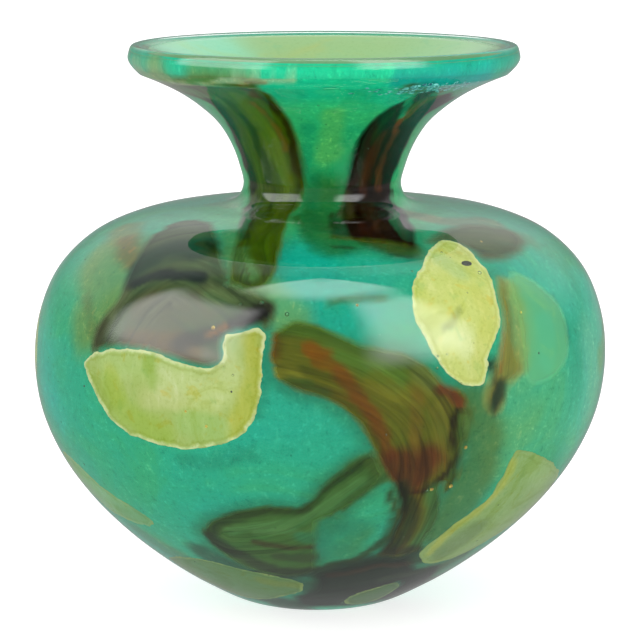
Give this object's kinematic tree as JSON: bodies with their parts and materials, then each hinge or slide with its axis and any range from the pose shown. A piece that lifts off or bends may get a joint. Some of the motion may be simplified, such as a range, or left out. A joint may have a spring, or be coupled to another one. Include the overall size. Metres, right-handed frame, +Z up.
{
  "type": "vase",
  "caption": "Round-bodied blown glass vase with a narrow neck and a wide flared mouth, in cased layers with chips and trails of coloured glass.",
  "frame": {"origin": "centre of the bounding box's lower face, on the plane that the vase stands on", "axes": "+Z up through the neck, -Y towards the front, which shows the large cream chips, +X to the right seen from the front"},
  "size_m": [0.1356, 0.1356, 0.132],
  "materials": {
    "clear_glass": "fire-polished clear glass",
    "turquoise_glass": "opal turquoise glass under clear casing",
    "pale_glass": "pale mint opal glass, glossy inside",
    "cream_glass": "cream to yellow-green opal chips",
    "pale_green_glass": "cream chip under a film of turquoise",
    "olive_glass": "streaked olive green trail",
    "brown_glass": "streaked dark brown trail",
    "smoke_glass": "dark grey-green trail"
  },
  "bodies": {
    "root": {"clear_casing": "clear_glass", "turquoise_ground": "turquoise_glass", "pale_lining": "pale_glass", "cream_chip_left": "cream_glass", "cream_chip_right": "cream_glass", "cream_chip_low_right": "cream_glass", "cream_chip_low_left": "cream_glass", "cream_chip_base_left": "cream_glass", "cream_chip_base_right": "cream_glass", "cream_chip_sunk_right": "pale_green_glass", "cream_chip_back_high": "cream_glass", "cream_chip_back_low": "cream_glass", "cream_chip_side_left": "cream_glass", "neck_trail_left": "olive_glass", "neck_trail_right": "brown_glass", "shoulder_trail_right": "brown_glass", "smoke_trail_left": "smoke_glass", "flame_trail_right": "brown_glass", "centre_trail": "olive_glass", "leaf_trail": "olive_glass", "base_trail": "brown_glass", "back_neck_trail": "olive_glass", "back_sweep_trail": "brown_glass", "side_trail_right": "olive_glass"}
  },
  "joints": []
}
